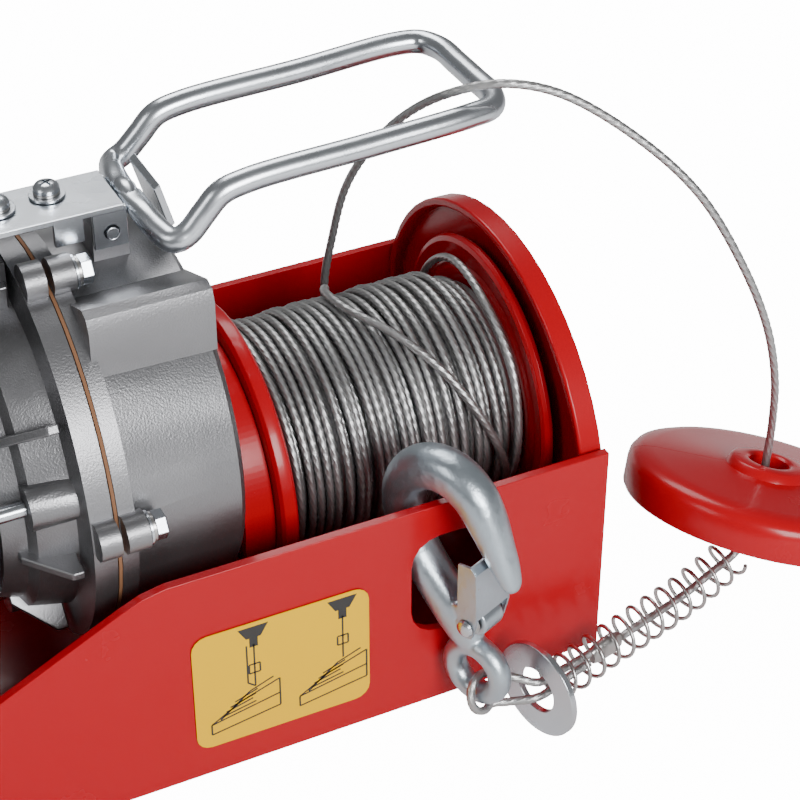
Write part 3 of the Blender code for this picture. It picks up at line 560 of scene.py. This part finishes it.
def cover_ribs():
    """Webs on the cover that brace the tie-rod bosses."""
    for i in range(8):
        lean = math.radians(167.6 - 45 * i + 22)
        out = Vector((0, math.cos(lean), math.sin(lean)))
        across = Vector((0, -math.sin(lean), math.cos(lean)))
        centre = Vector((0, 0, MOTOR_Z))
        corners = [(-168.5, 50.0), (-168.5, 61.5), (-172, 61.5), (-184, 49.5), (-184, 44.0)]
        verts = [centre + Vector((x, 0, 0)) + out * r + across * t
                 for t in (-1.5, 1.5) for x, r in corners]
        faces = prism_faces(len(corners))
        shape(f"cover_rib_{i}", verts, faces, CAST, "hoist_frame", bevel=0.6)


def hexagon_bolt(node, seat):
    """A washer, a split spring washer and a domed hexagon head, along +x from the seat."""
    body = "hoist_frame"
    direction = (1, 0, 0)
    turned(f"{node}_look_washer", [(0.3, 2.7), (0.3, 5.2), (1.2, 5.2), (1.2, 2.7)], seat, direction,
           ZINC, body, count=32, bevel=0.15)
    turned(f"{node}_look_spring", [(1.25, 2.7), (1.25, 4.5), (2.3, 4.5), (2.3, 2.7)], seat, direction,
           STEEL, body, count=32, bevel=0.15)
    turned(f"{node}_look", [(2.4, 0), (2.4, 4.6), (5.6, 4.6), (6.0, 4.0), (6.0, 0)], seat, direction,
           ZINC, body, [node], count=6, bevel=0.2)


def motor_look():
    """The finned housing, its end shield, and the black cowl, box and glands."""
    for node in ("stator_housing", "motor_end_shield"):
        rounded_copy(node, CAST, 0.4)
    for node in ("fan_cowl", "terminal_box", "terminal_lid", "mains_gland", "pendant_gland"):
        rounded_copy(node, BLACK, 0.8)


# ---------------------------------------------------------------- limit lever

ROD_R = 3.8
LEVER_PLATE_TOP = 171.0


def lever_look():
    """The bent rod with pressed and welded ends, its plate, gusset, pin and two screws."""
    body = "limit_lever"
    half = [(-127, -3, 168.8), (-126.5, -10, 167.5), (-124.5, -20, 164.8), (-122, -25.5, 164),
            (-118, -26.2, 165.8), (-113, -26, 170.8), (-107.5, -26, 176.2), (-99, -26, 178.4),
            (-60, -26, 180.2), (-27, -26, 182), (-19, -24, 182), (-15.3, -17, 182), (-15, -6, 182)]
    other = [(x, -y, z) for x, y, z in reversed(half)]
    points = smooth_route(half + other, 1.5)
    last = len(points) - 1

    def flattened(i):
        near = min(i, last - i) / 5.0
        press = 1.0 - 0.45 * math.exp(-near * near)
        return circle(ROD_R, 28, press)

    bar("lever_rod_look", points, flattened, ZINC, body, ["lever_rod"])
    bead = [(-5.5, 0), (-5.0, 2.2), (-3.0, 3.2), (0, 3.6), (3.0, 3.2), (5.0, 2.2), (5.5, 0)]
    turned("lever_weld", bead, (-127.3, 0, 168.6), (0, 1, 0), ZINC, body, count=32)
    rounded_copy("lever_plate", ZINC, 0.35)
    rounded_copy("lever_gusset", ZINC, 0.35)
    for i, (x, y) in enumerate(((-150, 3), (-165.7, 1))):
        pan_screw(f"lever_screw_{i + 1}", (x, y, LEVER_PLATE_TOP), body)
    rounded_copy("lever_pin", ZINC, 0.3)


def pan_screw(node, at, body):
    """A washer, a split washer and a domed head with a cross recess."""
    turned(f"{node}_washer", [(0.25, 2.2), (0.25, 5.4), (1.1, 5.4), (1.1, 2.2)], at, (0, 0, 1),
           ZINC, body, count=32, bevel=0.15)
    turned(f"{node}_split", [(1.15, 2.2), (1.15, 4.0), (2.0, 4.0), (2.0, 2.2)], at, (0, 0, 1),
           STEEL, body, count=32, bevel=0.15)
    dome = [(-6, 0), (-6, 2.0), (2.05, 2.0), (2.05, 3.9), (3.2, 3.9), (4.1, 3.2), (4.6, 2.0), (4.75, 0)]
    head = turned(f"{node}_look", dome, at, (0, 0, 1), ZINC, body, [node], 32)
    for k, angle in enumerate((0.4, 0.4 + math.pi / 2)):
        along = Vector((math.cos(angle), math.sin(angle), 0))
        across = Vector((-math.sin(angle), math.cos(angle), 0))
        verts = [Vector(at) + along * a * 2.1 + across * b * 0.45 + Vector((0, 0, z))
                 for z in (3.3, 6.0) for a, b in ((-1, -1), (1, -1), (1, 1), (-1, 1))]
        cut_from(head, f"{node}_recess_{k}", verts, prism_faces(4))


def cut_from(obj, name, verts, faces):
    """Cuts a closed shape out of the object, and leaves nothing else behind."""
    mesh = bpy.data.meshes.new(name)
    mesh.from_pydata([place(v) for v in verts], [], faces)
    face_out(mesh)
    tool = linked(name, mesh)
    step = obj.modifiers.new("recess", "BOOLEAN")
    step.operation = "DIFFERENCE"
    step.object = tool
    bake(obj)
    bpy.data.objects.remove(tool)


def bake(obj):
    """Turns the object's modifiers into its mesh."""
    graph = bpy.context.evaluated_depsgraph_get()
    graph.update()
    result = bpy.data.meshes.new_from_object(obj.evaluated_get(graph))
    obj.modifiers.clear()
    obj.data = result


# ---------------------------------------------------------------- spring, washer and stop disc

SPRING_R = 6.6
SPRING_WIRE = 1.4
SPRING_TURNS = 13
SPRING_STEPS = 26
SPRING_END_X = 49.5


def spring_look():
    """The spring round the rope, and the washer that it pushes against."""
    line = [p for p in spring_axis if AXIS_START.x + 3 <= p.x <= SPRING_END_X]
    points = []
    steps = SPRING_TURNS * SPRING_STEPS
    for i in range(steps + 1):
        at = (len(line) - 1) * i / steps
        k = min(int(at), len(line) - 2)
        centre = line[k].lerp(line[k + 1], at - k)
        _, side, top = axes_along(line[k + 1] - line[k])
        spin = 2 * math.pi * i / SPRING_STEPS
        points.append(centre + SPRING_R * (side * math.cos(spin) + top * math.sin(spin)))
    outline = circle(SPRING_WIRE / 2, 10)
    bar("spring_look", points, lambda i: outline, STEEL, "hoist_frame", ["stop_spring"])
    turned("washer_look", [(-1.2, 7.8), (-1.2, 16.6), (1.2, 16.6), (1.2, 7.8)], AXIS_START,
           (0.966, 0.258, 0.0), ZINC, "hoist_frame", ["spring_washer"], 96, 0.45)


STOP_TOP = Vector((63.6, -70, 47.6))
STOP_AXIS = Vector((0.319, 0.175, 0.931)).normalized()
STOP_SPLIT = math.radians(-118)
SEAM = 0.12


def stop_look():
    """Two moulded half discs with a fine seam between them."""
    away = Vector((0, 0, 1)).cross(STOP_AXIS).normalized()
    first = STOP_AXIS.cross(away)
    profile = [(4.6, 7.4), (4.75, 8.2), (4.6, 12.0), (4.1, 12.9), (1.6, 14.0), (1.2, 16), (0.4, 38),
               (-0.2, 42), (-1.4, 44.6), (-3.4, 45.8), (-5.5, 46), (-12.8, 45.6), (-14.0, 44.8),
               (-14.4, 43.0), (-14.3, 16), (-17.0, 14.2), (-17.3, 13.2), (-17.3, 11), (-12, 9.2), (-6, 7.0),
               (3.9, 6.8)]
    steps = 64
    for name, start in (("stop_half_a", STOP_SPLIT), ("stop_half_b", STOP_SPLIT + math.pi)):
        verts = []
        inset = Vector((-math.sin(start), math.cos(start))) * SEAM
        for k in range(steps + 1):
            spin = start + math.pi * k / steps
            for height, radius in profile:
                flat = Vector((radius * math.cos(spin), radius * math.sin(spin))) + inset
                verts.append(STOP_TOP + first * flat.x + away * flat.y + STOP_AXIS * height)
        faces = loft_faces(steps + 1, len(profile))
        shape(f"{name}_look", verts, faces, RED, "stop_disc", [name], angle=40)


# ---------------------------------------------------------------- hook

HOOK_BAR = ((-3.8, -46.5, 4.6, 4.2), (-4.6, -42, 6.0, 5.6), (-7.5, -34, 6.8, 6.4), (-12, -24, 6.4, 6.8),
            (-15.6, -15, 6.1, 7), (-17, -7, 6.1, 7), (-17, 0, 6.4, 7), (-14.3, 8.5, 6.7, 7),
            (-8.5, 14.3, 7, 7), (0, 16.6, 7.1, 7), (8.5, 14.3, 7, 7), (14.3, 8.3, 6.7, 6.8),
            (17, 0, 6, 6.3), (18.4, -8, 5, 5.5), (19.8, -16, 3.9, 4.6), (20.6, -21.5, 2.7, 3.4),
            (20.9, -23.6, 1.4, 1.8))
LATCH_PIVOT = (4.5, -35.0)
SIZE_SCALE = 4
STATION_GAP = 3.0


def in_hook(u, v, w=0.0):
    """A point by its place in the hook's plane, with the bowl's centre at zero, and w across it."""
    return BOWL + u * HOOK_U + v * HOOK_V + w * HOOK_W


def hook_look():
    """A forged bar, its eye and its latch lug, blended into one body."""
    hook = hook_bar_look()
    merge_into(hook, *eye_ring())
    edge = [(LATCH_PIVOT[0] + 5 * math.cos(t), LATCH_PIVOT[1] + 5 * math.sin(t))
            for t in (math.pi * (k / 24 - 0.5) for k in range(25))]
    edge += [(-5, LATCH_PIVOT[1] + 5), (-5, LATCH_PIVOT[1] - 5)]
    lug = [in_hook(u, v, w) for w in (-4.6, 4.6) for u, v in edge]
    merge_into(hook, lug, prism_faces(len(edge)))
    blend = hook.modifiers.new("blend", "REMESH")
    blend.mode = "VOXEL"
    blend.voxel_size = 0.45 * MM
    blend.use_smooth_shade = True
    soften = hook.modifiers.new("soften", "SMOOTH")
    soften.factor = 0.7
    soften.iterations = 12
    bake(hook)
    latch_look()


def hook_bar_look():
    """The bar from the eye round the bowl to the point, with its width and thickness from HOOK_BAR."""
    path = smooth_route([(u, v, 0) for u, v, _, _ in HOOK_BAR], 1.0)
    stations = [(a * SIZE_SCALE, b * SIZE_SCALE, i * STATION_GAP)
                for i, (_, _, a, b) in enumerate(HOOK_BAR)]
    sizes = smooth_route(stations, 0.2)
    verts = []
    count = 32
    for i, point in enumerate(path):
        wanted = bar_position(point) * STATION_GAP
        size = min(sizes, key=lambda s, wanted=wanted: abs(s.z - wanted))
        half_width, half_thick = size.x / SIZE_SCALE, size.y / SIZE_SCALE
        ahead = (path[min(i + 1, len(path) - 1)] - path[max(i - 1, 0)]).normalized()
        for k in range(count):
            spin = 2 * math.pi * k / count
            across = half_width * math.copysign(abs(math.cos(spin)) ** 0.9, math.cos(spin))
            depth = half_thick * math.copysign(abs(math.sin(spin)) ** 0.9, math.sin(spin))
            verts.append(in_hook(point.x - ahead.y * across, point.y + ahead.x * across, depth))
    faces = loft_faces(len(path), count)
    return shape("hook_look", verts, faces, HOOK, "hook", ["lifting_hook"], angle=180)


def eye_ring():
    """The points and faces of the hook's eye."""
    steps = 64
    count = 20
    points = []
    faces = []
    for i in range(steps):
        spin = 2 * math.pi * i / steps
        after = (i + 1) % steps
        for k in range(count):
            lean = 2 * math.pi * k / count
            radius = EYE_RING_R + 3.7 * math.cos(lean)
            points.append(in_hook(-4 + radius * math.cos(spin), -EYE_TO_BOWL + radius * math.sin(spin),
                                  4.0 * math.sin(lean)))
            j = (k + 1) % count
            faces.append((i * count + k, i * count + j, after * count + j, after * count + k))
    return points, faces


def bar_position(point):
    """How far along HOOK_BAR a point of the hook's plane is, counted in stations."""
    best = (1e9, 0.0)
    for i in range(len(HOOK_BAR) - 1):
        start = Vector(HOOK_BAR[i][:2])
        end = Vector(HOOK_BAR[i + 1][:2])
        part = (point.xy - start).dot(end - start) / (end - start).length_squared
        part = min(1.0, max(0.0, part))
        best = min(best, ((start.lerp(end, part) - point.xy).length, i + part))
    return best[1]


def merge_into(obj, verts, faces):
    """Adds a closed shell to the object's mesh."""
    work = bmesh.new()
    work.from_mesh(obj.data)
    made = [work.verts.new(place(v)) for v in verts]
    new = [work.faces.new([made[i] for i in face]) for face in faces]
    bmesh.ops.recalc_face_normals(work, faces=new)
    work.to_mesh(obj.data)
    work.free()


def latch_look():
    """The latch, its rivet and its small spring."""
    rounded_copy("hook_latch", HOOK, 0.3)
    rivet = [(-10.2, 0), (-10.0, 1.6), (-9.4, 2.6), (-8.5, 2.9), (-8.5, 1.7), (8.5, 1.7), (8.5, 2.9),
             (9.4, 2.6), (10.0, 1.6), (10.2, 0)]
    turned("latch_rivet_look", rivet, in_hook(*LATCH_PIVOT), HOOK_W, ZINC, "hook", ["latch_rivet"], 32)
    coil = []
    for i in range(61):
        spin = 2 * math.pi * i / 20 + 0.6
        coil.append(in_hook(LATCH_PIVOT[0] + 3.1 * math.cos(spin),
                            LATCH_PIVOT[1] + 3.1 * math.sin(spin), 4.9 + 0.7 * i / 20))
    coil += [in_hook(LATCH_PIVOT[0] + 4.5, LATCH_PIVOT[1] + 8, 6.9),
             in_hook(LATCH_PIVOT[0] + 8.5, LATCH_PIVOT[1] + 15, 6.9)]
    outline = circle(0.35, 8)
    bar("latch_spring", coil, lambda i: outline, STEEL, "hook")


# ---------------------------------------------------------------- light and floor

FLOOR_HALF = 6
FLOOR_GLOW = 14.0
LAMPS = (("key", (0.20, -1.30, 0.75), 0.6, 26.0),
         ("fill", (-1.10, -0.20, 1.00), 0.5, 4.0),
         ("back", (0.30, 0.80, 1.20), 0.7, 11.0))
LAMP_AIM = Vector((0.1, 0.0, 0.08))


def studio():
    """A pale floor that the camera sees as white, three soft lamps and a dim even sky, in metres."""
    add_floor()
    for name, spot, size, power in LAMPS:
        data = bpy.data.lights.new(name, "AREA")
        data.shape = "SQUARE"
        data.size = size
        data.energy = power
        lamp = linked(name, data)
        lamp.location = spot
        lamp.rotation_euler = (LAMP_AIM - Vector(spot)).to_track_quat("-Z", "Y").to_euler()
    world = bpy.data.worlds.new("studio")
    bpy.context.scene.world = world
    world.use_nodes = True
    sky = world.node_tree.nodes["Background"]
    sky.inputs["Color"].default_value = (1, 1, 1, 1)
    sky.inputs["Strength"].default_value = 0.2


def add_floor():
    """The floor, whose glow only the camera sees, so that it lights nothing."""
    mesh = bpy.data.meshes.new("floor")
    corners = [(x * FLOOR_HALF, y * FLOOR_HALF, 0) for x, y in ((-1, -1), (1, -1), (1, 1), (-1, 1))]
    mesh.from_pydata(corners, [], [(0, 1, 2, 3)])
    look = bpy.data.materials.new("floor")
    look.use_nodes = True
    nodes = look.node_tree.nodes
    links = look.node_tree.links
    shader = nodes["Principled BSDF"]
    shader.inputs["Base Color"].default_value = (0.9, 0.9, 0.9, 1)
    shader.inputs["Roughness"].default_value = 0.9
    shader.inputs["Emission Color"].default_value = (1, 1, 1, 1)
    path = nodes.new("ShaderNodeLightPath")
    glow = nodes.new("ShaderNodeMath")
    glow.operation = "MULTIPLY"
    glow.inputs[1].default_value = FLOOR_GLOW
    links.new(path.outputs["Is Camera Ray"], glow.inputs[0])
    links.new(glow.outputs["Value"], shader.inputs["Emission Strength"])
    mesh.materials.append(look)
    linked("floor", mesh)


frame_look()
drum_look()
winding_look()
case_look()
motor_look()
lever_look()
spring_look()
stop_look()
hook_look()
for node, obj in frame["nodes"].items():
    if not obj.hide_render:
        finish = FINISHES[obj.data.materials[0].name.split(".")[0]]
        obj.data.materials.clear()
        obj.data.materials.append(finish)
studio()
